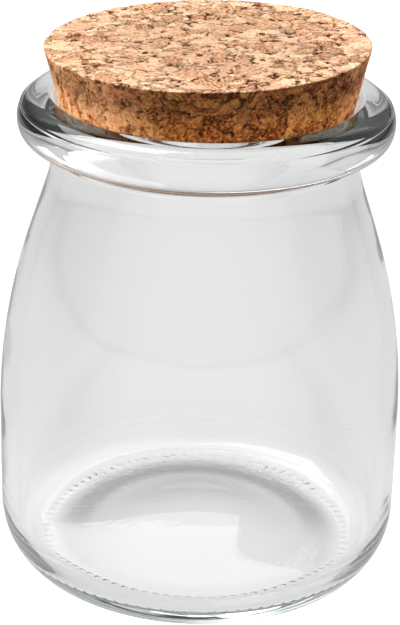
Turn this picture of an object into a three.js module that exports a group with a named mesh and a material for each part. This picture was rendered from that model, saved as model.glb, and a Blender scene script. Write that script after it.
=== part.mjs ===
// A clear glass storage jar, empty, with a tapered stopper of pressed cork set a little askew in its mouth.
// Millimetres. +Z is up, the jar stands on z = 0 and its axis is the Z axis.

import * as THREE from 'three';

const FACETS = 64;
const SAME_POINT = 1e-4;
const STEPS = { shoulder: 4, neck: 4, swell: 4, heel: 7, innerHeel: 6, bead: 7, corner: 2 };

// Body: an upright wall that leans in along a wide shoulder arc and ends in a cove at the neck
const BODY_RADIUS = 34;
const SHOULDER_Z = 26.4;
const SHOULDER_ARC = 102;
const NECK_RADIUS = 25;
const NECK_Z = 73;
const NECK_ARC = 18.7;
const WALL = 2.6;

// Base: the flat ring that the jar stands on, the rounded heel round it and the push-up inside it
const RING_INNER = 25;
const RING_OUTER = 26.8;
const HEEL_RISE = 9.8;
const PUSH_UP = 1.8;
const BASE_GLASS = 4;
const FLOOR_EDGE_RADIUS = 26.7;
const FLOOR_EDGE_Z = 3.8;
const INNER_HEEL_RISE = 6.6;

// Rim: a rounded bead with a narrow, nearly level land on top. A leaning band joins it to the neck at a seam.
const SEAM_STEP = 0.25;
const SEAM_HEIGHT = 0.1;
const BAND_TOP = new THREE.Vector2(25.4, 74);
const BEAD_RADIUS = 30.57;
const BEAD_ROUND = 1.7;
const BEAD_HALF_HEIGHT = 2.88;
const BEAD_Z = 78.33;
const BEAD_TURN = THREE.MathUtils.degToRad(55);
const UNDERSIDE_COVE = 0.4;
const LAND_OUTER = new THREE.Vector2(28.2, 82);
const LAND_INNER = new THREE.Vector2(24.7, 82.35);
const LAND_ROUNDING = 0.85;
const BORE_TOP_RADIUS = 23.95;
const BORE_TOP_Z = 79.3;

// Cork: its top is the wide end, and it leans to one side about the Y axis
const CORK_TOP_RADIUS = 26.2;
const CORK_BOTTOM_RADIUS = 23.4;
const CORK_HEIGHT = 11.4;
const CORK_EDGE = 0.4;
const CORK_TOP_Z = 90.44;
const CORK_SHIFT = -0.1;
const CORK_LEAN = THREE.MathUtils.degToRad(-1.37);

const glass = new THREE.MeshStandardMaterial({
  color: 0xdfe6e3,
  roughness: 0.05,
  metalness: 0,
  transparent: true,
  opacity: 0.35,
});
const cork = new THREE.MeshStandardMaterial({ color: 0xc08a5c, roughness: 0.9, metalness: 0 });

const at = (radius, z) => new THREE.Vector2(radius, z);

function arc(radius, z, across, upward, from, to, steps) {
  return new THREE.EllipseCurve(radius, z, across, upward, from, to, from > to).getPoints(steps);
}

// A corner rounded off by the same length along both of its sides
function roundedCorner(before, corner, after, size) {
  const start = before.clone().sub(corner).setLength(size).add(corner);
  const end = after.clone().sub(corner).setLength(size).add(corner);
  return new THREE.QuadraticBezierCurve(start, corner, end).getPoints(STEPS.corner);
}

// A level start and a level end, joined by an S-shaped swell
function swell(start, end) {
  const middle = (start.x + end.x) / 2;
  const curve = new THREE.CubicBezierCurve(start, at(middle, start.y), at(middle, end.y), end);
  return curve.getPoints(STEPS.swell);
}

function turned(points) {
  const profile = points.filter((point, i) => i === 0 || point.distanceTo(points[i - 1]) > SAME_POINT);
  return new THREE.LatheGeometry(profile, FACETS).rotateX(Math.PI / 2);
}

// The shoulder arc bulges out, the neck arc curves the other way, and one straight slope touches both.
// An inset moves the whole line inwards by the thickness of the wall.
function shoulderAndNeck(inset) {
  const shoulderCentre = BODY_RADIUS - SHOULDER_ARC;
  const neckCentre = NECK_RADIUS + NECK_ARC;
  const across = neckCentre - shoulderCentre;
  const upward = NECK_Z - SHOULDER_Z;
  const reach = (SHOULDER_ARC + NECK_ARC) / Math.hypot(across, upward);
  const slope = Math.atan2(upward, across) - Math.acos(reach);
  const shoulderRadius = SHOULDER_ARC - inset;
  const neckRadius = NECK_ARC + inset;
  return [
    ...arc(shoulderCentre, SHOULDER_Z, shoulderRadius, shoulderRadius, 0, slope, STEPS.shoulder),
    ...arc(neckCentre, NECK_Z, neckRadius, neckRadius, Math.PI + slope, Math.PI, STEPS.neck),
  ];
}

// The push-up swells up from the inner edge of the standing ring
function underside() {
  return swell(at(0, PUSH_UP), at(RING_INNER, 0));
}

function heel() {
  return arc(RING_OUTER, HEEL_RISE, BODY_RADIUS - RING_OUTER, HEEL_RISE, -Math.PI / 2, 0, STEPS.heel);
}

// From the seam under the rim, round the bead and over the land, down to the top of the bore
function rim() {
  const seam = at(NECK_RADIUS - SEAM_STEP, NECK_Z + SEAM_HEIGHT);
  const beadCentre = BEAD_RADIUS - BEAD_ROUND;
  const bead = arc(beadCentre, BEAD_Z, BEAD_ROUND, BEAD_HALF_HEIGHT, -Math.PI / 2, BEAD_TURN, STEPS.bead);
  const boreTop = at(BORE_TOP_RADIUS, BORE_TOP_Z);
  return [
    seam,
    ...roundedCorner(seam, BAND_TOP, bead[0], UNDERSIDE_COVE),
    ...bead,
    ...roundedCorner(bead.at(-1), LAND_OUTER, LAND_INNER, LAND_ROUNDING),
    ...roundedCorner(LAND_OUTER, LAND_INNER, boreTop, LAND_ROUNDING),
    boreTop,
  ];
}

function innerFloor() {
  const innerRadius = BODY_RADIUS - WALL;
  const heelCentre = FLOOR_EDGE_Z + INNER_HEEL_RISE;
  const across = innerRadius - FLOOR_EDGE_RADIUS;
  return [
    ...arc(FLOOR_EDGE_RADIUS, heelCentre, across, INNER_HEEL_RISE, 0, -Math.PI / 2, STEPS.innerHeel),
    ...swell(at(FLOOR_EDGE_RADIUS, FLOOR_EDGE_Z), at(0, PUSH_UP + BASE_GLASS)),
  ];
}

function makeJar() {
  const outside = [...underside(), ...heel(), ...shoulderAndNeck(0), ...rim()];
  const inside = [...shoulderAndNeck(WALL).reverse(), ...innerFloor()];
  const jar = new THREE.Mesh(turned([...outside, ...inside]), glass);
  jar.name = 'jar';
  return jar;
}

// The stopper is turned with its top at z = 0, then leans about the middle of that top
function makeCork() {
  const outline = [
    at(0, -CORK_HEIGHT),
    at(CORK_BOTTOM_RADIUS - CORK_EDGE, -CORK_HEIGHT),
    at(CORK_BOTTOM_RADIUS, CORK_EDGE - CORK_HEIGHT),
    at(CORK_TOP_RADIUS, -CORK_EDGE),
    at(CORK_TOP_RADIUS - CORK_EDGE, 0),
    at(0, 0),
  ];
  const stopper = new THREE.Mesh(turned(outline), cork);
  stopper.name = 'cork';
  stopper.position.set(CORK_SHIFT, 0, CORK_TOP_Z);
  stopper.rotation.y = CORK_LEAN;
  return stopper;
}

const storageJar = new THREE.Group();
storageJar.add(makeJar(), makeCork());

export default storageJar;
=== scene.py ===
# %% [markdown]
# # A glass storage jar with a cork
# The real thing is a small jar of clear pressed glass, closed by a tapered stopper of pressed cork. Both
# are turned shapes: each has one half outline that goes once round an axis. So the lesson draws the two
# outlines, lets Geometry Nodes turn them, adds the relief that the plain solids lack, and then makes
# glass and cork with shader nodes. Lengths are in millimetres until they reach Blender, which works in
# metres.

# %% Load the frame
import math

import bpy
from mathutils import Matrix, Vector


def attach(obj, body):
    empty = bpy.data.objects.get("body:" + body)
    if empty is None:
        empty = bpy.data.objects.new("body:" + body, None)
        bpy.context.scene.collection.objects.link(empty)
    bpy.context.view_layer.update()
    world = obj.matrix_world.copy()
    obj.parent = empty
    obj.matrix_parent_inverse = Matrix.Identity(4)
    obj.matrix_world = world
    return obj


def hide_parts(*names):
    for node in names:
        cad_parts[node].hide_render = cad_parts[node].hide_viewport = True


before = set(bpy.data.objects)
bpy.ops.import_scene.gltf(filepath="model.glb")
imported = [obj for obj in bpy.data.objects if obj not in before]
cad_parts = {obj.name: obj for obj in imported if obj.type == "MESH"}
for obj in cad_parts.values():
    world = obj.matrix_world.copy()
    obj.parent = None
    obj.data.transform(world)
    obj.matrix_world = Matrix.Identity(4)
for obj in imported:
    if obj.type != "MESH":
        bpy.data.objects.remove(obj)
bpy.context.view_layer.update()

# %% [markdown]
# ## Node trees as sums
# A node tree is a sum drawn as boxes. Placing each box by hand makes long code, so one small class wraps
# an output socket and lets Python's own signs add the boxes: `1 - mask` adds a Math node, and a sum with
# a colour or a position adds Vector Math instead. Every other node comes from `Wire.node`, which takes
# the node's type, its settings and what goes into its sockets. Shader trees and geometry trees share the
# class.

# %% A wire between nodes
VECTORS = {"VECTOR", "RGBA"}


class Wire:
    """An output socket. Signs between wires add the nodes that work the sum out."""

    def __init__(self, tree, socket):
        self.tree = tree
        self.socket = socket

    @classmethod
    def node(cls, tree, kind, settings=None, inputs=None, output=0):
        made = tree.nodes.new(kind)
        for name, value in (settings or {}).items():
            if name == "stops":
                cls.set_stops(made.color_ramp, value)
            else:
                setattr(made, name, value)
        for name, value in (inputs or {}).items():
            if isinstance(value, Wire):
                tree.links.new(value.socket, made.inputs[name])
            else:
                made.inputs[name].default_value = value
        return cls(tree, made.outputs[output]) if made.outputs else None

    @staticmethod
    def set_stops(ramp, stops):
        while len(ramp.elements) < len(stops):
            ramp.elements.new(1)
        for element, (position, colour) in zip(ramp.elements, stops):
            element.position = position
            element.color = colour

    def __getitem__(self, output):
        return Wire(self.tree, self.socket.node.outputs[output])

    def sum(self, operation, *terms):
        vector = any(isinstance(term, Wire) and term.socket.type in VECTORS for term in terms)
        vector = vector or any(isinstance(term, (tuple, Vector)) for term in terms)
        if vector:
            terms = [(term,) * 3 if isinstance(term, (int, float)) else term for term in terms]
        kind = "ShaderNodeVectorMath" if vector else "ShaderNodeMath"
        return Wire.node(self.tree, kind, {"operation": operation}, dict(enumerate(terms)))

    def __add__(self, other):
        return self.sum("ADD", self, other)

    def __radd__(self, other):
        return self.sum("ADD", other, self)

    def __sub__(self, other):
        return self.sum("SUBTRACT", self, other)

    def __rsub__(self, other):
        return self.sum("SUBTRACT", other, self)

    def __mul__(self, other):
        return self.sum("MULTIPLY", self, other)

    def __rmul__(self, other):
        return self.sum("MULTIPLY", other, self)

    def rise(self, low, high):
        """0 below low, 1 above high, with a soft step between. Low above high turns it round."""
        limits = {"Value": self, "From Min": low, "From Max": high}
        return Wire.node(self.tree, "ShaderNodeMapRange", {"interpolation_type": "SMOOTHSTEP"}, limits)

    def parts(self):
        split = Wire.node(self.tree, "ShaderNodeSeparateXYZ", inputs={0: self})
        return split["X"], split["Y"], split["Z"]


# %% [markdown]
# ## Textures that both kinds of tree use
# The cork's granules show twice: as relief in the mesh and as colour on it. If both read the same texture
# at the same place they agree, so these helpers take a wire that holds a place in millimetres, whatever
# tree it is in. Distances and colours have helpers of their own.

# %% Noise, cells, distances and colours
def noise(place, size, detail=2.0, output="Fac"):
    """Soft noise whose bumps are about as wide as size."""
    inputs = {"Vector": place, "Scale": 1 / size, "Detail": detail}
    return Wire.node(place.tree, "ShaderNodeTexNoise", inputs=inputs)[output]


def cells(place, size, output, feature="F1"):
    """Cells about as wide as size: their colour, or the distance to their middle or their edge."""
    inputs = {"Vector": place, "Scale": 1 / size}
    return Wire.node(place.tree, "ShaderNodeTexVoronoi", {"feature": feature}, inputs)[output]


def distance(place):
    """How far a place is from the origin."""
    return place.sum("LENGTH", place)["Value"]


def axis_distance(x, y):
    """How far a place is from the upright axis."""
    square = x * x + y * y
    return square.sum("SQRT", square)


def mixed(factor, low, high):
    """One colour fading into another."""
    tree = factor.tree
    return Wire.node(tree, "ShaderNodeMix", {"data_type": "RGBA"}, {0: factor, 6: low, 7: high}, output=2)


def paint(red, green, blue):
    """A colour as it looks on a screen, from 0 to 255, made linear for the shader."""
    shares = [value / 255 for value in (red, green, blue)]
    return (*[s / 12.92 if s <= 0.04045 else ((s + 0.055) / 1.055) ** 2.4 for s in shares], 1.0)


# %% [markdown]
# ## The jar's outline
# A jar like this is pressed and blown in a mould, so its outline is a chain of arcs: a push-up under the
# base, the ring that it stands on, a rounded heel, an upright wall, a wide shoulder that runs into a cove
# at the neck, and a bead with a narrow land on top. It could be traced by hand, but arcs and short Bezier
# curves give the glass the even curvature that clean refraction needs. The sizes repeat those of the
# solid that the outline replaces, with a fine groove added at the top of the bead.

# %% Curves for an outline
def line(start, end, steps):
    return [Vector(start).lerp(Vector(end), i / steps) for i in range(steps + 1)]


def arc(centre, across, upward, start, end, steps):
    """Points on an ellipse round centre, from one angle to another, in degrees."""
    angles = [math.radians(start + (end - start) * i / steps) for i in range(steps + 1)]
    return [Vector((centre[0] + across * math.cos(a), centre[1] + upward * math.sin(a))) for a in angles]


def bezier(controls, steps):
    """Points on the Bezier curve that its control points pull, by drawing lines between lines."""
    points = []
    for i in range(steps + 1):
        row = [Vector(control) for control in controls]
        while len(row) > 1:
            row = [a.lerp(b, i / steps) for a, b in zip(row, row[1:])]
        points.append(row[0])
    return points


def rounded_corner(before, corner, after, size, steps):
    corner = Vector(corner)
    start = corner + (Vector(before) - corner).normalized() * size
    end = corner + (Vector(after) - corner).normalized() * size
    return bezier([start, corner, end], steps)


def swell(start, end, steps):
    """Level at both ends, with an S-shaped rise or fall between."""
    middle = (start[0] + end[0]) / 2
    return bezier([start, (middle, start[1]), (middle, end[1]), end], steps)


# %% Base and heel
STEPS = {"push-up": 26, "ring": 6, "heel": 28, "shoulder": 12, "neck": 10}
RING_INNER = 25.0
RING_OUTER = 26.8
PUSH_UP = 1.8
BODY_RADIUS = 34.0
HEEL_RISE = 9.8


def underside():
    push_up = swell((0, PUSH_UP), (RING_INNER, 0), STEPS["push-up"])
    return push_up + line((RING_INNER, 0), (RING_OUTER, 0), STEPS["ring"])


def heel():
    across = BODY_RADIUS - RING_OUTER
    return arc((RING_OUTER, HEEL_RISE), across, HEEL_RISE, -90, 0, STEPS["heel"])


# %% Wall, shoulder and neck
SHOULDER_Z = 26.4
SHOULDER_ARC = 102.0
NECK_RADIUS = 25.0
NECK_Z = 73.0
NECK_ARC = 18.7
WALL = 2.6


def shoulder_and_neck(inset):
    """Two arcs that one straight slope joins. An inset moves the line in by the thickness of the wall."""
    shoulder_centre = BODY_RADIUS - SHOULDER_ARC
    neck_centre = NECK_RADIUS + NECK_ARC
    across = neck_centre - shoulder_centre
    upward = NECK_Z - SHOULDER_Z
    reach = (SHOULDER_ARC + NECK_ARC) / math.hypot(across, upward)
    slope = math.degrees(math.atan2(upward, across) - math.acos(reach))
    shoulder_radius = SHOULDER_ARC - inset
    neck_radius = NECK_ARC + inset
    shoulder_place = (shoulder_centre, SHOULDER_Z)
    neck_place = (neck_centre, NECK_Z)
    shoulder = arc(shoulder_place, shoulder_radius, shoulder_radius, 0, slope, STEPS["shoulder"])
    neck = arc(neck_place, neck_radius, neck_radius, 180 + slope, 180, STEPS["neck"])
    return shoulder + neck


# %% Rim
SEAM_STEP = 0.25
SEAM_HEIGHT = 0.1
BAND_TOP = (25.4, 74.0)
BEAD_RADIUS = 30.57
BEAD_ROUND = 1.7
BEAD_HALF_HEIGHT = 2.88
BEAD_Z = 78.33
BEAD_TURN = 55
UNDERSIDE_COVE = 0.4
LAND_OUTER = (28.2, 82.0)
LAND_INNER = (24.7, 82.35)
LAND_ROUNDING = 0.85
BORE_TOP = (23.95, 79.3)
GROOVE_WIDTH = 0.44
GROOVE_DEPTH = 0.2
BEAD_STEPS = 22
CORNER_STEPS = 6


def groove(point, along):
    """A narrow V cut into the outline, on the left of the way that it runs."""
    along = Vector(along).normalized()
    inwards = Vector((-along.y, along.x))
    reach = along * GROOVE_WIDTH / 2
    return [point - reach, point + inwards * GROOVE_DEPTH, point + reach]


def rim():
    """From the seam under the rim, round the bead and over the land, down to the top of the bore."""
    bead_centre = (BEAD_RADIUS - BEAD_ROUND, BEAD_Z)
    bead = arc(bead_centre, BEAD_ROUND, BEAD_HALF_HEIGHT, -90, BEAD_TURN, BEAD_STEPS)
    seam = (NECK_RADIUS - SEAM_STEP, NECK_Z + SEAM_HEIGHT)
    return [
        Vector(seam),
        *rounded_corner(seam, BAND_TOP, bead[0], UNDERSIDE_COVE, CORNER_STEPS),
        *bead[:-1],
        *groove(bead[-1], Vector(LAND_OUTER) - bead[-1]),
        *rounded_corner(bead[-1], LAND_OUTER, LAND_INNER, LAND_ROUNDING, CORNER_STEPS),
        *rounded_corner(LAND_OUTER, LAND_INNER, BORE_TOP, LAND_ROUNDING, CORNER_STEPS),
        Vector(BORE_TOP),
    ]


# %% Inside of the jar
BASE_GLASS = 4.0
FLOOR_EDGE = (26.7, 3.8)
INNER_HEEL_RISE = 6.6
INNER_HEEL_STEPS = 16
FLOOR_STEPS = 14
SAME_POINT = 1e-4


def inner_floor():
    centre = (FLOOR_EDGE[0], FLOOR_EDGE[1] + INNER_HEEL_RISE)
    across = BODY_RADIUS - WALL - FLOOR_EDGE[0]
    inner_heel = arc(centre, across, INNER_HEEL_RISE, 0, -90, INNER_HEEL_STEPS)
    return inner_heel + swell(FLOOR_EDGE, (0, PUSH_UP + BASE_GLASS), FLOOR_STEPS)


def without_repeats(points):
    return [p for i, p in enumerate(points) if i == 0 or (p - points[i - 1]).length > SAME_POINT]


outside = underside() + heel() + shoulder_and_neck(0) + rim()
inside = shoulder_and_neck(WALL)[::-1] + inner_floor()
jar_outline = without_repeats(outside + inside)
inner_points = len(without_repeats(inside))
print("jar outline:", len(jar_outline), "points,", inner_points, "of them inside")

# %% [markdown]
# ## Turning an outline
# Blender has a Screw modifier for this, but a Geometry Nodes tree is easier to extend: it lays out a grid
# with one row for each outline point, reads the radius and height of that point, and bends the grid round
# the axis. It also marks the points that belong to the inside, so that the glass can tell its two faces
# apart. Merging by distance then closes the seam and both poles. Both outlines start at the axis under
# the base and run up round the outside first, which gives faces that point outwards. A tree is made once,
# and its inputs are set on each modifier that uses it.

# %% Trees, modifiers and plain meshes
MM = 0.001
KINDS = {"value": "NodeSocketFloat", "count": "NodeSocketInt", "material": "NodeSocketMaterial"}


def new_tree(name, **inputs):
    """A geometry tree with named inputs, and the wire that its inputs come in by."""
    tree = bpy.data.node_groups.new(name, "GeometryNodeTree")
    tree.interface.new_socket("Geometry", in_out="INPUT", socket_type="NodeSocketGeometry")
    for label, kind in inputs.items():
        tree.interface.new_socket(label, in_out="INPUT", socket_type=KINDS[kind])
    tree.interface.new_socket("Geometry", in_out="OUTPUT", socket_type="NodeSocketGeometry")
    return tree, Wire.node(tree, "NodeGroupInput")


def end_tree(entry, geometry):
    """Every tree ends alike: nothing is left an instance, and the surface is smooth."""
    tree = entry.tree
    smooth = Wire.node(tree, "GeometryNodeSetShadeSmooth", inputs={"Geometry": geometry})
    real = Wire.node(tree, "GeometryNodeRealizeInstances", inputs={0: smooth})
    dressed = {"Geometry": real, "Material": entry["finish"]}
    finished = Wire.node(tree, "GeometryNodeSetMaterial", inputs=dressed)
    Wire.node(tree, "NodeGroupOutput", inputs={0: finished})


def add_tree(piece, tree, **values):
    modifier = piece.modifiers.new(tree.name, "NODES")
    modifier.node_group = tree
    for item in tree.interface.items_tree:
        if item.name in values:
            modifier[item.identifier] = values[item.name]


def outline_object(name, outline, inner_points=0):
    """A row of points, with the radius in X, the height in Z, and Y saying whether the point is inside."""
    mesh = bpy.data.meshes.new(name)
    first_inside = len(outline) - inner_points
    mesh.from_pydata([(p[0] * MM, i >= first_inside, p[1] * MM) for i, p in enumerate(outline)], [], [])
    piece = bpy.data.objects.new(name, mesh)
    bpy.context.scene.collection.objects.link(piece)
    return piece


def make_plain(piece):
    """What the modifiers make becomes the piece's own mesh, and the modifiers go."""
    graph = bpy.context.evaluated_depsgraph_get()
    mesh = bpy.data.meshes.new_from_object(piece.evaluated_get(graph))
    piece.modifiers.clear()
    piece.data = mesh
    print(piece.name, "has", sum(len(face.vertices) - 2 for face in mesh.polygons), "triangles")


# %% The tree that turns an outline
SEAM_REACH = 0.001


def lathe_tree():
    tree, entry = new_tree("turn on a lathe", facets="count", finish="material")
    outline = entry["Geometry"]
    size = Wire.node(tree, "GeometryNodeAttributeDomainSize", {"component": "MESH"}, {"Geometry": outline})
    rows = size["Point Count"]
    across = {"Size X": 1.0, "Size Y": 1.0, "Vertices X": entry["facets"] + 1, "Vertices Y": rows}
    grid = Wire.node(tree, "GeometryNodeMeshGrid", inputs=across)["Mesh"]
    place = Wire.node(tree, "GeometryNodeInputPosition")
    turn, along, _ = place.parts()
    exact_row = (along + 0.5) * (rows - 1)
    row = exact_row.sum("ROUND", exact_row)
    reading = {"Geometry": outline, "Value": place, "Index": row}
    point = Wire.node(tree, "GeometryNodeSampleIndex", {"data_type": "FLOAT_VECTOR"}, reading)
    radius, inside, height = point.parts()
    angle = (turn + 0.5) * math.tau
    x = radius * angle.sum("COSINE", angle)
    y = radius * angle.sum("SINE", angle)
    bent = Wire.node(tree, "ShaderNodeCombineXYZ", inputs={"X": x, "Y": y, "Z": height})
    marking = {"Geometry": grid, "Name": "inside", "Value": inside}
    marked = Wire.node(tree, "GeometryNodeStoreNamedAttribute", {"domain": "POINT"}, marking)
    wrapped = {"Geometry": marked, "Position": bent}
    turned = Wire.node(tree, "GeometryNodeSetPosition", inputs=wrapped)
    closing = {"Geometry": turned, "Distance": SEAM_REACH * MM}
    end_tree(entry, Wire.node(tree, "GeometryNodeMergeByDistance", inputs=closing))
    return tree


turn_on_lathe = lathe_tree()
print("tree:", turn_on_lathe.name, len(turn_on_lathe.nodes), "nodes")

# %% [markdown]
# ## Ridges under the base
# The ring that the jar stands on is knurled: short ridges run across it, so that hot glass doesn't chill
# against the belt. They glint through the base as a row of beads. One ridge could be modelled and copied
# round the ring, but then it would have to be cut into the glass. Lifting the ring's own points in a wave
# keeps the glass whole. The wave is deeper at the front, where the beads show through the heel.

# %% The tree that presses the ridges
RIDGES = 88
FACETS_PER_RIDGE = 6
RIDGE_DEPTH = 0.09
KNURL_START = (25.6, 26.1)
KNURL_END = (27.1, 27.7)
BASE_ONLY = (1.2, 1.6)
RIDGE_FRONT = (-8.0, -21.0)
FRONT_EXTRA = 3.6


def place_in_mm(tree):
    return Wire.node(tree, "GeometryNodeInputPosition") * (1 / MM)


def ridge_tree():
    tree, entry = new_tree("press ridges", ridges="count", depth="value", finish="material")
    x, y, z = place_in_mm(tree).parts()
    radius = axis_distance(x, y)
    angle = y.sum("ARCTAN2", y, x)
    turns = angle * entry["ridges"]
    wave = 0.5 - 0.5 * turns.sum("COSINE", turns)
    band = radius.rise(*KNURL_START) * radius.rise(*KNURL_END[::-1]) * z.rise(*BASE_ONLY[::-1])
    deep = entry["depth"] * (1 + FRONT_EXTRA * y.rise(*RIDGE_FRONT))
    lift = Wire.node(tree, "ShaderNodeCombineXYZ", inputs={"Z": wave * band * deep})
    lifted = {"Geometry": entry["Geometry"], "Offset": lift}
    end_tree(entry, Wire.node(tree, "GeometryNodeSetPosition", inputs=lifted))
    return tree


press_ridges = ridge_tree()
print("tree:", press_ridges.name, RIDGES, "ridges")

# %% [markdown]
# ## Granules of the cork
# The stopper is pressed from chips of cork, two to six millimetres long, glued and then ground to shape.
# Each chip has its own tone and grain, thin gaps show between some of them, and a few chips have torn out
# and left a pit. Voronoi cells are chips with straight sides, so the place is bent by noise before it is
# read. Large cells and small ones are swapped by a patchy mask, which gives the uneven mix of sizes.

# %% The granule pattern
CHIP_SIZE = 4.6
CRUMB_SIZE = 2.0
BEND_SIZE = 2.6
BEND_DETAIL = 3.0
BEND_REACH = 3.2
PATCH_SIZE = 5.0
PATCH_SHIFT = (31.0, 7.0, 13.0)
PATCH_EDGE = (0.46, 0.52)
GROWTH_LINES = 16
WOBBLE = 12
WOBBLE_SIZE = 1.4
OPEN_SIZE = 1.8
OPEN_SHIFT = (5.0, 17.0, 3.0)
OPEN_EDGE = (0.5, 0.6)
GAP_WIDTH = (0.15, 0.05)
RIM_WIDTH = (0.6, 0.1)
PITS = [{"spacing": 4.6, "radius": 0.6}, {"spacing": 1.5, "radius": 0.24}]
PIT_BEND = 0.3
PIT_SHARE = (0.6, 1.0)
PIT_EDGE = (0.1, -0.1)
PIT_START = (0.1, 0.3)


def chip_edges(bent, size):
    """How far it is to the edge of a chip, in millimetres."""
    return cells(bent, size, "Distance", "DISTANCE_TO_EDGE") * size


def pits(place, bend, spacing, radius):
    """Round pits in the middle of some cells, 1 where it is hollow."""
    shape = place + bend * spacing * PIT_BEND
    size = cells(shape, spacing, "Color").parts()[0].rise(*PIT_SHARE)
    reach = cells(shape, spacing, "Distance") * spacing
    return (reach - radius * size).rise(*PIT_EDGE) * size.rise(*PIT_START)


def granules(place):
    """Wires for the chips at a place in millimetres: tone, hue, level, grain, rim and hollow, 0 to 1."""
    bend = noise(place, BEND_SIZE, BEND_DETAIL, "Color") - 0.5
    bent = place + bend * BEND_REACH
    crumbly = noise(place + PATCH_SHIFT, PATCH_SIZE).rise(*PATCH_EDGE)
    kind = mixed(crumbly, cells(bent, CHIP_SIZE, "Color"), cells(bent, CRUMB_SIZE, "Color"))
    tone, hue, level = kind.parts()
    along = place.sum("DOT_PRODUCT", place, kind - 0.5)["Value"]
    lines = along * GROWTH_LINES + noise(place, WOBBLE_SIZE) * WOBBLE
    grain = 0.5 + 0.5 * lines.sum("SINE", lines)
    chip_edge = chip_edges(bent, CHIP_SIZE)
    edge = chip_edge + (chip_edges(bent, CRUMB_SIZE) - chip_edge) * crumbly
    open_here = noise(place + OPEN_SHIFT, OPEN_SIZE).rise(*OPEN_EDGE)
    rim = edge.rise(*RIM_WIDTH) * open_here
    hollow = edge.rise(*GAP_WIDTH) * open_here
    for pit in PITS:
        hollow = hollow.sum("MAXIMUM", hollow, pits(place, bend, **pit))
    return {"tone": tone, "hue": hue, "level": level, "grain": grain, "rim": rim, "hollow": hollow}


# %% The tree that presses the relief
HOLLOW_DEPTH = 0.5
CHIP_STEP = 0.14


def relief_tree():
    tree, entry = new_tree("press granules", hollow="value", step="value", finish="material")
    chips = granules(place_in_mm(tree))
    sunk = chips["hollow"] * entry["hollow"] + chips["level"] * entry["step"]
    normal = Wire.node(tree, "GeometryNodeInputNormal")
    pressed = {"Geometry": entry["Geometry"], "Offset": normal * (0.0 - sunk)}
    end_tree(entry, Wire.node(tree, "GeometryNodeSetPosition", inputs=pressed))
    return tree


press_granules = relief_tree()
print("tree:", press_granules.name, len(press_granules.nodes), "nodes")

# %% [markdown]
# ## Glass
# Clear soda glass bends light, takes a faint green from iron where it is thick, and is never quite even:
# the wall ripples a little, the inner floor has a fine orange peel round its back edge, and the underside
# is faintly stippled. A Principled shader with full transmission does the bending, Volume Absorption
# gives the green, and a Bump node carries the unevenness. Colour and density are the same all over, so
# they are set on the shaders' own sockets.

# %% The glass material
GLASS_IOR = 1.52
GLASS_TINT = (0.895, 0.92, 0.908, 1.0)
GLASS_DENSITY = 36.0
PEEL_RADIUS = (17.0, 21.5, 25.0, 27.0)
PEEL_HEIGHT = (9.0, 6.0)
PEEL_BACK = (4.0, 18.0)
STIPPLE_EDGE = (25.0, 23.0)
RIPPLE = 0.15
RIPPLE_SIZE = 16.0
PEEL = 0.24
PEEL_SIZE = 0.7
STIPPLE = 0.012
STIPPLE_SIZE = 1.2


def new_material(name):
    material = bpy.data.materials.new(name)
    material.use_nodes = True
    material.node_tree.nodes.clear()
    return material, material.node_tree


def object_place(tree, centre=(0, 0, 0), turn=(0, 0, 0)):
    """The place on the piece in millimetres, in the axes of something that was moved and turned."""
    place = Wire.node(tree, "ShaderNodeTexCoord")["Object"]
    inputs = {"Vector": place, "Location": centre, "Rotation": turn}
    return Wire.node(tree, "ShaderNodeMapping", {"vector_type": "TEXTURE"}, inputs) * (1 / MM)


def bump(height, strength, distance):
    inputs = {"Height": height, "Strength": strength, "Distance": distance}
    return Wire.node(height.tree, "ShaderNodeBump", inputs=inputs)


def pressed_glass():
    material, tree = new_material("pressed glass")
    place = object_place(tree)
    x, y, height = place.parts()
    radius = axis_distance(x, y)
    inside = Wire.node(tree, "ShaderNodeAttribute", {"attribute_name": "inside"})["Fac"]
    low = height.rise(*PEEL_HEIGHT)
    edge = radius.rise(*PEEL_RADIUS[:2]) * radius.rise(*PEEL_RADIUS[:1:-1])
    peel = noise(place, PEEL_SIZE, detail=1.0) * edge * low * inside * y.rise(*PEEL_BACK)
    stipple = noise(place, STIPPLE_SIZE, detail=1.0) * radius.rise(*STIPPLE_EDGE) * low * (1 - inside)
    ripple = noise(place, RIPPLE_SIZE, detail=1.0)
    surface = Wire.node(
        tree,
        "ShaderNodeBsdfPrincipled",
        inputs={
            "Base Color": (1.0, 1.0, 1.0, 1.0),
            "Roughness": 0.0,
            "IOR": GLASS_IOR,
            "Transmission Weight": 1.0,
            "Normal": bump(ripple * RIPPLE + peel * PEEL + stipple * STIPPLE, 1.0, MM),
        },
    )
    absorb = {"Color": GLASS_TINT, "Density": GLASS_DENSITY}
    volume = Wire.node(tree, "ShaderNodeVolumeAbsorption", inputs=absorb)
    Wire.node(tree, "ShaderNodeOutputMaterial", inputs={"Surface": surface, "Volume": volume})
    return material


glass = pressed_glass()
print("material:", glass.name, len(glass.node_tree.nodes), "nodes")
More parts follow.
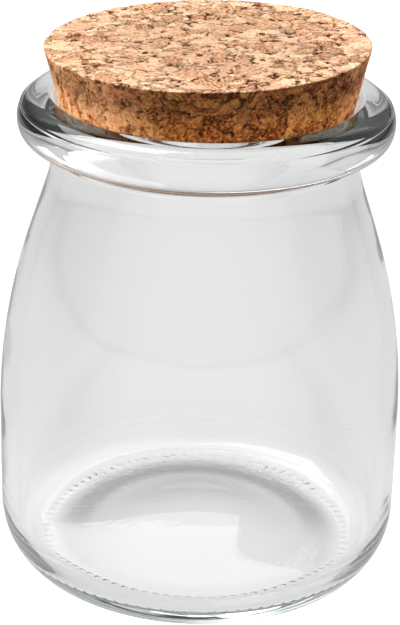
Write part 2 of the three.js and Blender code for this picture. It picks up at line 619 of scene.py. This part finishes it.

# %% [markdown]
# ## Cork
# Ground cork is matt and warm. Its chips run from tan through peach to cream, and each has faint growth
# lines in a direction of its own. A painted highlight makes the cork paler towards the edge of its top.
# The
# side carries painted light and shade: painted shade makes it darker and browner, painted light makes it
# paler towards its left and right ends, and painted bounce light lifts it low down. The same granule
# pattern as in the mesh picks the tones, so every gap is dark where it is deep.

# %% The cork material
CORK_TOP_Z = 90.44
CORK_SHIFT = -0.1
CORK_LEAN = math.radians(-1.37)
CORK_CENTRE = Vector((CORK_SHIFT, 0, CORK_TOP_Z)) * MM
TAN_TONES = [(0.0, paint(140, 84, 44)), (0.5, paint(230, 180, 134)), (1.0, paint(255, 224, 186))]
PEACH_TONES = [(0.0, paint(142, 82, 50)), (0.5, paint(232, 174, 138)), (1.0, paint(255, 214, 180))]
RIM_TONE = paint(160, 98, 46)
GAP_TONE = paint(116, 64, 32)
# The two side tones below make the side darker and browner: painted shade.
SIDE_SHADE_DARK = (0.165, 0.072, 0.008, 1.0)
SIDE_SHADE_LIGHT = (0.39, 0.237, 0.098, 1.0)
# The pale tint, with its reach to the left and to the right, paints light on the ends of the side.
END_LIGHT_TINT = (0.88, 0.67, 0.48, 1.0)
SIDE_GAP = (0.07, 0.03, 0.006, 1.0)
END_LIGHT_LEFT = (-4.0, -24.0)
END_LIGHT_RIGHT = (20.0, 26.0)
END_LIGHT_RIGHT_SHARE = 0.7
# Paler towards the edge of the top: a painted highlight.
EDGE_HIGHLIGHT_RADIUS = (12.0, 25.0)
EDGE_HIGHLIGHT_SHARE = 0.24
# Where the side grows lighter low down: painted bounce light.
BOUNCE_LIGHT_DEPTH = (3.0, 9.0)
SIDE_DEPTH = (0.12, 0.3)
# How strongly the painted side shade darkens the side.
SIDE_SHADE_STRENGTH = 0.92
# How much the painted bounce light lifts the foot of the side.
FOOT_BOUNCE_LIGHT = 1.6
TOP_RIM_SHARE = 0.42
SIDE_RIM_SHARE = 0.45
HOLLOW_DARK = 0.72

# %% How much each pattern counts, in the tone and in the relief
FINE_SIZE = 0.4
FINE_DETAIL = 5.0
CHIP_SHARE = 0.6
GRAIN_SHARE = 0.3
FINE_SHARE = 1.8
TONE_DROP = 0.76
FINE_RELIEF = 1.2
GRAIN_RELIEF = 0.3
LEVEL_RELIEF = 0.8
HOLLOW_RELIEF = 1.4
RELIEF_STRENGTH = 0.8
RELIEF_REACH = 0.4
MATT = 0.82
MATT_RANGE = 0.12
SHINE = 0.25


def ramp(factor, stops):
    return Wire.node(factor.tree, "ShaderNodeValToRGB", {"stops": stops}, {"Fac": factor})


def pressed_cork():
    material, tree = new_material("pressed cork")
    place = object_place(tree, CORK_CENTRE, (0, CORK_LEAN, 0))
    chips = granules(place)
    fine = noise(place, FINE_SIZE, FINE_DETAIL)
    across, along, height = place.parts()
    tone = chips["tone"] * CHIP_SHARE + chips["grain"] * GRAIN_SHARE + fine * FINE_SHARE - TONE_DROP
    chip = mixed(chips["hue"], ramp(tone, TAN_TONES), ramp(tone, PEACH_TONES))
    # Painted highlight: the cork is paler towards the edge of its top.
    edge_highlight = axis_distance(across, along).rise(*EDGE_HIGHLIGHT_RADIUS)
    colour = mixed(chips["rim"] * TOP_RIM_SHARE, chip, RIM_TONE) * (1 + EDGE_HIGHLIGHT_SHARE * edge_highlight)
    pitted = mixed(chips["hollow"] * HOLLOW_DARK, colour, GAP_TONE)
    depth = 0.0 - height
    # Painted light: the side is paler towards its left and right ends.
    pale = across.rise(*END_LIGHT_LEFT) + across.rise(*END_LIGHT_RIGHT) * END_LIGHT_RIGHT_SHARE
    # Painted shade: the side is darker and browner, and its chip rims are darker still.
    side = mixed(chips["rim"] * SIDE_RIM_SHARE, mixed(tone, SIDE_SHADE_DARK, SIDE_SHADE_LIGHT), SIDE_GAP)
    # Painted light and shade on the side: the shaded tones, paler ends, and painted bounce light low down.
    side_light_and_shade = mixed(pale, side, END_LIGHT_TINT) * (SIDE_SHADE_STRENGTH + FOOT_BOUNCE_LIGHT * depth.rise(*BOUNCE_LIGHT_DEPTH))
    # Below the edge of the top, the colour takes the painted side light and shade.
    side_shaded_colour = mixed(depth.rise(*SIDE_DEPTH), pitted, pitted * side_light_and_shade)
    sunk = chips["level"] * LEVEL_RELIEF + chips["hollow"] * HOLLOW_RELIEF
    relief = fine * FINE_RELIEF + chips["grain"] * GRAIN_RELIEF - sunk
    surface = Wire.node(
        tree,
        "ShaderNodeBsdfPrincipled",
        inputs={
            "Base Color": side_shaded_colour,
            "Roughness": MATT + MATT_RANGE * fine,
            "Specular IOR Level": SHINE,
            "Normal": bump(relief, RELIEF_STRENGTH, RELIEF_REACH * MM),
        },
    )
    Wire.node(tree, "ShaderNodeOutputMaterial", inputs={"Surface": surface})
    return material


cork_finish = pressed_cork()
print("material:", cork_finish.name, len(cork_finish.node_tree.nodes), "nodes")

# %% [markdown]
# ## The jar
# The outline becomes a real mesh in two steps, turning and then pressing the ridges. Six facets to a
# ridge are enough for a smooth wave, and they set the number of facets round the whole jar.

# %% Turn the jar
jar = outline_object("pressed_jar", jar_outline, inner_points)
add_tree(jar, turn_on_lathe, facets=RIDGES * FACETS_PER_RIDGE, finish=glass)
add_tree(jar, press_ridges, ridges=RIDGES, depth=RIDGE_DEPTH * MM, finish=glass)
make_plain(jar)
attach(jar, "root")
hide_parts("jar")

# %% [markdown]
# ## The cork
# The stopper is a shallow cone with its wide end up, a little askew in the mouth. It is turned with its
# top at height 0, pressed with granules, and then leaned about the middle of its top, with the lean kept
# in the mesh.

# %% Turn the cork
CORK_TOP_RADIUS = 26.2
CORK_BOTTOM_RADIUS = 23.4
CORK_HEIGHT = 11.4
CORK_EDGE = 0.4
CORK_FACETS = 480
CORK_STEPS = {"bottom": 34, "bottom edge": 3, "side": 34, "top edge": 4, "top": 76}


def cork_outline():
    bottom = (CORK_BOTTOM_RADIUS, -CORK_HEIGHT)
    top = (CORK_TOP_RADIUS, 0)
    bottom_edge = rounded_corner((0, -CORK_HEIGHT), bottom, top, CORK_EDGE, CORK_STEPS["bottom edge"])
    top_edge = rounded_corner(bottom, top, (0, 0), CORK_EDGE, CORK_STEPS["top edge"])
    return without_repeats([
        *line((0, -CORK_HEIGHT), bottom_edge[0], CORK_STEPS["bottom"]),
        *bottom_edge,
        *line(bottom_edge[-1], top_edge[0], CORK_STEPS["side"]),
        *top_edge,
        *line(top_edge[-1], (0, 0), CORK_STEPS["top"]),
    ])


cork = outline_object("cork_stopper", cork_outline())
add_tree(cork, turn_on_lathe, facets=CORK_FACETS, finish=cork_finish)
add_tree(cork, press_granules, hollow=HOLLOW_DEPTH * MM, step=CHIP_STEP * MM, finish=cork_finish)
make_plain(cork)
cork.data.transform(Matrix.Translation(CORK_CENTRE) @ Matrix.Rotation(CORK_LEAN, 4, "Y"))
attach(cork, "root")
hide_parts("cork")

# %% [markdown]
# ## Floor and light
# Clear glass shows only what is round it. A bright room and a pale floor keep the wall light, and a dim
# stretch low down behind the jar draws the dark lines in the rim and the heel. The floor could be lit by
# lamps alone, but light that has to pass through glass first is slow to render and noisy. So the floor
# has a soft glow of its own, with its own shade under the jar.

# %% A pale floor
FLOOR_SIZE = 6.0
FLOOR_TONE = (0.1, 0.1, 0.1, 1.0)
SHADE_GLOW = 0.58
SHADE_DIP = 0.26
DIP_RADIUS = (17.5, 20.5)
DIP_BACK = (-4.0, 8.0)
FRONT_GLOW = 0.03
FRONT_EDGE = (6.0, -8.0)
SPOT_GLOW = 0.17
SPOT_CENTRE = (1.0, -6.0, 0.0)
SPOT_EDGE = (26.0, 8.0)
SIDE_DIM = 0.1
SIDE_EDGE = (12.0, 36.0)
SIDE_BACK = (10.0, 40.0)
POOL_GLOW = 0.72
FAR_GLOW = 0.2
POOL_CENTRE = 600.0
POOL_EDGE = (1500.0, 650.0)
NEAR_GLOW = 0.16
NEAR_EDGE = (40.0, 31.0)
NEAR_BACK = (-30.0, 10.0)
JAR_EDGE = (22.0, 26.5)
CAMERA_LIFT = 0.6
FLOOR_GAP = -0.05


def open_floor(place):
    """The glow round the jar: a pool of light in front, more close behind, less behind to either side."""
    x, y, _ = place.parts()
    pool = distance(place + (0.0, POOL_CENTRE, 0.0)).rise(*POOL_EDGE)
    near = distance(place).rise(*NEAR_EDGE) * y.rise(*NEAR_BACK)
    sides = x.sum("ABSOLUTE", x).rise(*SIDE_EDGE) * y.rise(*SIDE_BACK)
    return FAR_GLOW + (POOL_GLOW - FAR_GLOW) * pool + NEAR_GLOW * near - SIDE_DIM * sides


def shaded_floor(place):
    """The glow under the jar: a little more at the front and in the middle, with a dip along the back."""
    _, y, _ = place.parts()
    spot = distance(place - SPOT_CENTRE).rise(*SPOT_EDGE)
    dip = distance(place).rise(*DIP_RADIUS) * y.rise(*DIP_BACK)
    return SHADE_GLOW + FRONT_GLOW * y.rise(*FRONT_EDGE) + SPOT_GLOW * spot - SHADE_DIP * dip


def floor_paint():
    material, tree = new_material("studio floor")
    matt = Wire.node(tree, "ShaderNodeBsdfDiffuse", inputs={"Color": FLOOR_TONE})
    seen = Wire.node(tree, "ShaderNodeLightPath")["Is Camera Ray"]
    place = object_place(tree)
    shade = shaded_floor(place)
    outside_jar = distance(place).rise(*JAR_EDGE)
    strength = shade + outside_jar * (open_floor(place) - shade) + seen * CAMERA_LIFT
    glow = Wire.node(tree, "ShaderNodeEmission", inputs={"Strength": strength})
    both = Wire.node(tree, "ShaderNodeAddShader", inputs={0: matt, 1: glow})
    Wire.node(tree, "ShaderNodeOutputMaterial", inputs={"Surface": both})
    return material


def flat_sheet(name, width, depth):
    mesh = bpy.data.meshes.new(name)
    corners = [(-width / 2, -depth / 2, 0), (width / 2, -depth / 2, 0)]
    corners += [(width / 2, depth / 2, 0), (-width / 2, depth / 2, 0)]
    mesh.from_pydata(corners, [], [(0, 1, 2, 3)])
    sheet = bpy.data.objects.new(name, mesh)
    bpy.context.scene.collection.objects.link(sheet)
    return sheet


floor = flat_sheet("floor", FLOOR_SIZE, FLOOR_SIZE)
floor.data.materials.append(floor_paint())
floor.location.z = FLOOR_GAP * MM

# %% A bright room and two soft lights
HORIZON = 0.74
ZENITH = 0.92
ZENITH_RISE = (0.0, 0.7)
BEHIND_AWAY = 0.9
BEHIND_LEFT = 0.44
BEHIND_EDGE = (0.2, 0.95)
BEHIND_HEIGHT = (0.55, 0.1)
BEHIND_DIM = 0.48


def soft_light(name, place, target, width, depth, watts):
    lamp = bpy.data.lights.new(name, "AREA")
    lamp.shape = "RECTANGLE"
    lamp.size = width
    lamp.size_y = depth
    lamp.energy = watts
    light = bpy.data.objects.new(name, lamp)
    light.location = place
    light.rotation_euler = (Vector(target) - Vector(place)).to_track_quat("-Z", "Y").to_euler()
    bpy.context.scene.collection.objects.link(light)


def room_light():
    """A bright room: dimmer towards the horizon, and dim low down behind the jar and to its left."""
    room = bpy.data.worlds.new("room")
    room.use_nodes = True
    tree = room.node_tree
    tree.nodes.clear()
    across, away, up = Wire.node(tree, "ShaderNodeTexCoord")["Generated"].parts()
    behind = (away * BEHIND_AWAY - across * BEHIND_LEFT).rise(*BEHIND_EDGE) * up.rise(*BEHIND_HEIGHT)
    tone = HORIZON + (ZENITH - HORIZON) * up.rise(*ZENITH_RISE) - BEHIND_DIM * behind
    background = Wire.node(tree, "ShaderNodeBackground", inputs={"Strength": tone})
    Wire.node(tree, "ShaderNodeOutputWorld", inputs={"Surface": background})
    return room


bpy.context.scene.world = room_light()
# The key light stands high on the left. The window behind shows as a pale patch on the base.
soft_light("key", place=(-0.45, 0.3, 1.0), target=(0, 0, 0.08), width=0.8, depth=0.8, watts=8.0)
soft_light("window", place=(-0.07, 0.9, 0.78), target=(0, 0, 0.0), width=0.48, depth=0.44, watts=0.86)
print("lights:", [light.name for light in bpy.data.lights])

# %% [markdown]
# ## Camera
# The camera stands in front, a third of a metre away, and looks down on the jar. Its place, tilt and lens
# were worked out from the outlines of the cork, the rim and the body.

# %% Place the camera
CAMERA_PLACE = (0, -0.31121, 0.18108)
CAMERA_PITCH = 23.863
CAMERA_YAW = -0.045
CAMERA_ROLL = 1.475
LENS = 116.37
SENSOR_WIDTH = 36
NEAREST = 0.01
GLASS_BOUNCES = 24
GLOSSY_BOUNCES = 12

view = bpy.data.cameras.new("camera")
view.lens = LENS
view.sensor_width = SENSOR_WIDTH
view.clip_start = NEAREST
camera = bpy.data.objects.new("camera", view)
aim = Matrix.Rotation(math.radians(-CAMERA_YAW), 4, "Z")
tilt = Matrix.Rotation(math.radians(90 - CAMERA_PITCH), 4, "X")
roll = Matrix.Rotation(math.radians(CAMERA_ROLL), 4, "Z")
camera.matrix_world = Matrix.Translation(CAMERA_PLACE) @ aim @ tilt @ roll
scene = bpy.context.scene
scene.collection.objects.link(camera)
scene.camera = camera
scene.view_settings.view_transform = "Standard"
scene.cycles.max_bounces = GLASS_BOUNCES
scene.cycles.transmission_bounces = GLASS_BOUNCES
scene.cycles.glossy_bounces = GLOSSY_BOUNCES
print("camera:", tuple(camera.location), "lens", view.lens)
